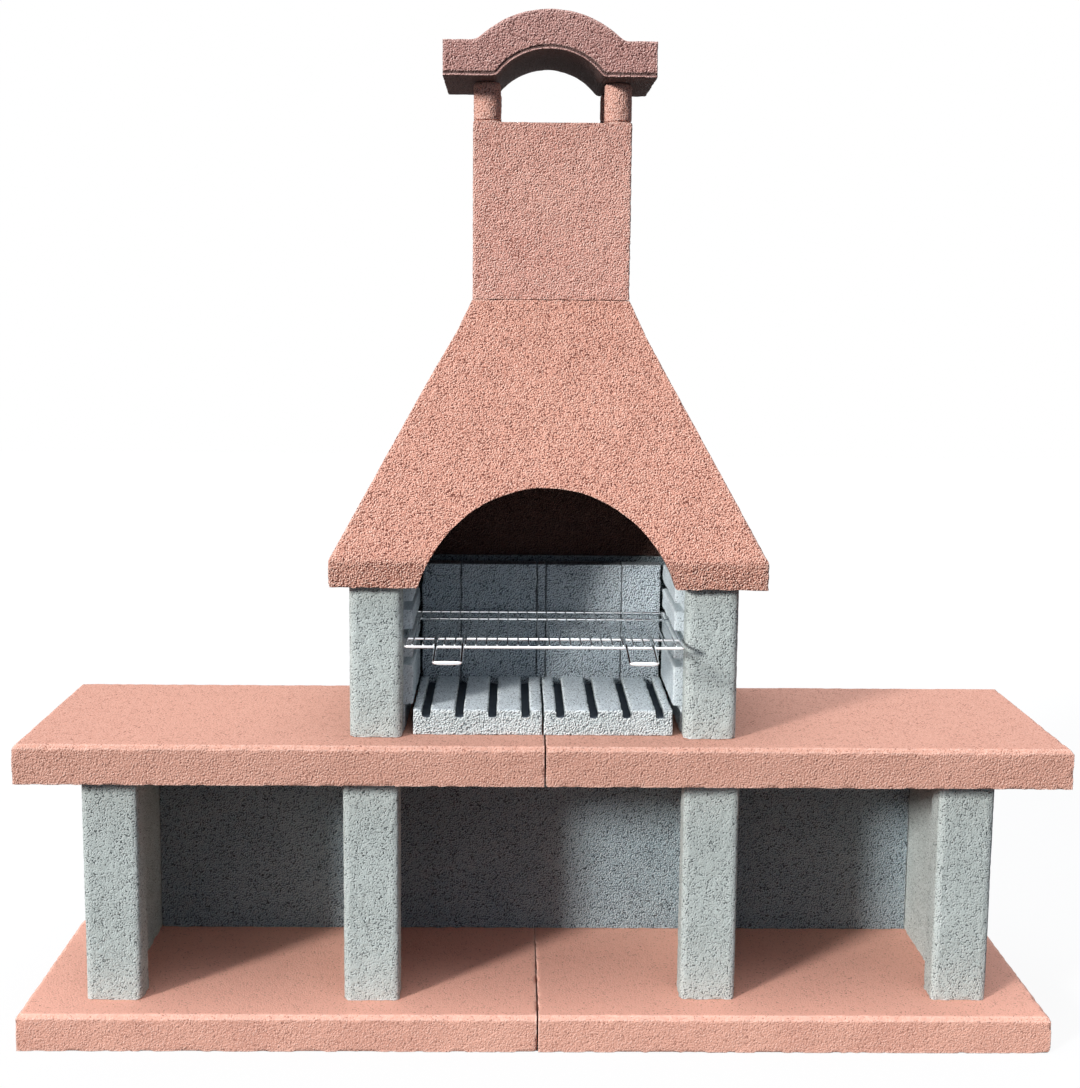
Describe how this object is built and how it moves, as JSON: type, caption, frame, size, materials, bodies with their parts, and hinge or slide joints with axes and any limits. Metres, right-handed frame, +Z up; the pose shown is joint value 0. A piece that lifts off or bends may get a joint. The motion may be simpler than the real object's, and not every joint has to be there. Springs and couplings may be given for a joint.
{
  "type": "masonry barbecue",
  "caption": "Free-standing outdoor masonry barbecue with bays under a long worktop, a firebox with a sliding wire grill, an arched hood and a capped chimney.",
  "frame": {"origin": "centre of the bottom of the whole object's box, on the floor, grill handles included", "axes": "+X along the worktop to the right as the cook sees it, +Y from the fire mouth to the back, +Z up"},
  "size_m": [2.211, 0.6816, 2.1805],
  "materials": {
    "rose_concrete": "matte",
    "mauve_concrete": "matte",
    "grey_concrete": "matte",
    "refractory_concrete": "matte",
    "chromed_wire": "polished"
  },
  "bodies": {
    "masonry": {"base_slab_left": "rose_concrete", "base_slab_right": "rose_concrete", "base_leg_outer_left": "grey_concrete", "base_leg_inner_left": "grey_concrete", "base_leg_inner_right": "grey_concrete", "base_leg_outer_right": "grey_concrete", "base_back_left": "grey_concrete", "base_back_centre": "grey_concrete", "base_back_right": "grey_concrete", "worktop_left": "rose_concrete", "worktop_right": "rose_concrete", "firebox_side_left": "grey_concrete", "firebox_side_right": "grey_concrete", "firebox_back": "grey_concrete", "grill_holder_left": "refractory_concrete", "grill_holder_right": "refractory_concrete", "fireback_outer_left": "refractory_concrete", "fireback_inner_left": "refractory_concrete", "fireback_joint_strip": "refractory_concrete", "fireback_inner_right": "refractory_concrete", "fireback_outer_right": "refractory_concrete", "hearth_slab_left": "refractory_concrete", "hearth_slab_right": "refractory_concrete", "hood": "rose_concrete", "chimney_flue": "rose_concrete", "chimney_column_front_left": "rose_concrete", "chimney_column_front_right": "rose_concrete", "chimney_column_rear_left": "rose_concrete", "chimney_column_rear_right": "rose_concrete", "chimney_cap": "mauve_concrete"},
    "grill": {"cooking_grill": "chromed_wire", "grill_handle_left": "chromed_wire", "grill_handle_right": "chromed_wire"}
  },
  "joints": [
    {"name": "grill_slide", "type": "slide", "parent": "masonry", "child": "grill", "axis": [0, -1, 0], "range_m": [0, 0.36]}
  ]
}
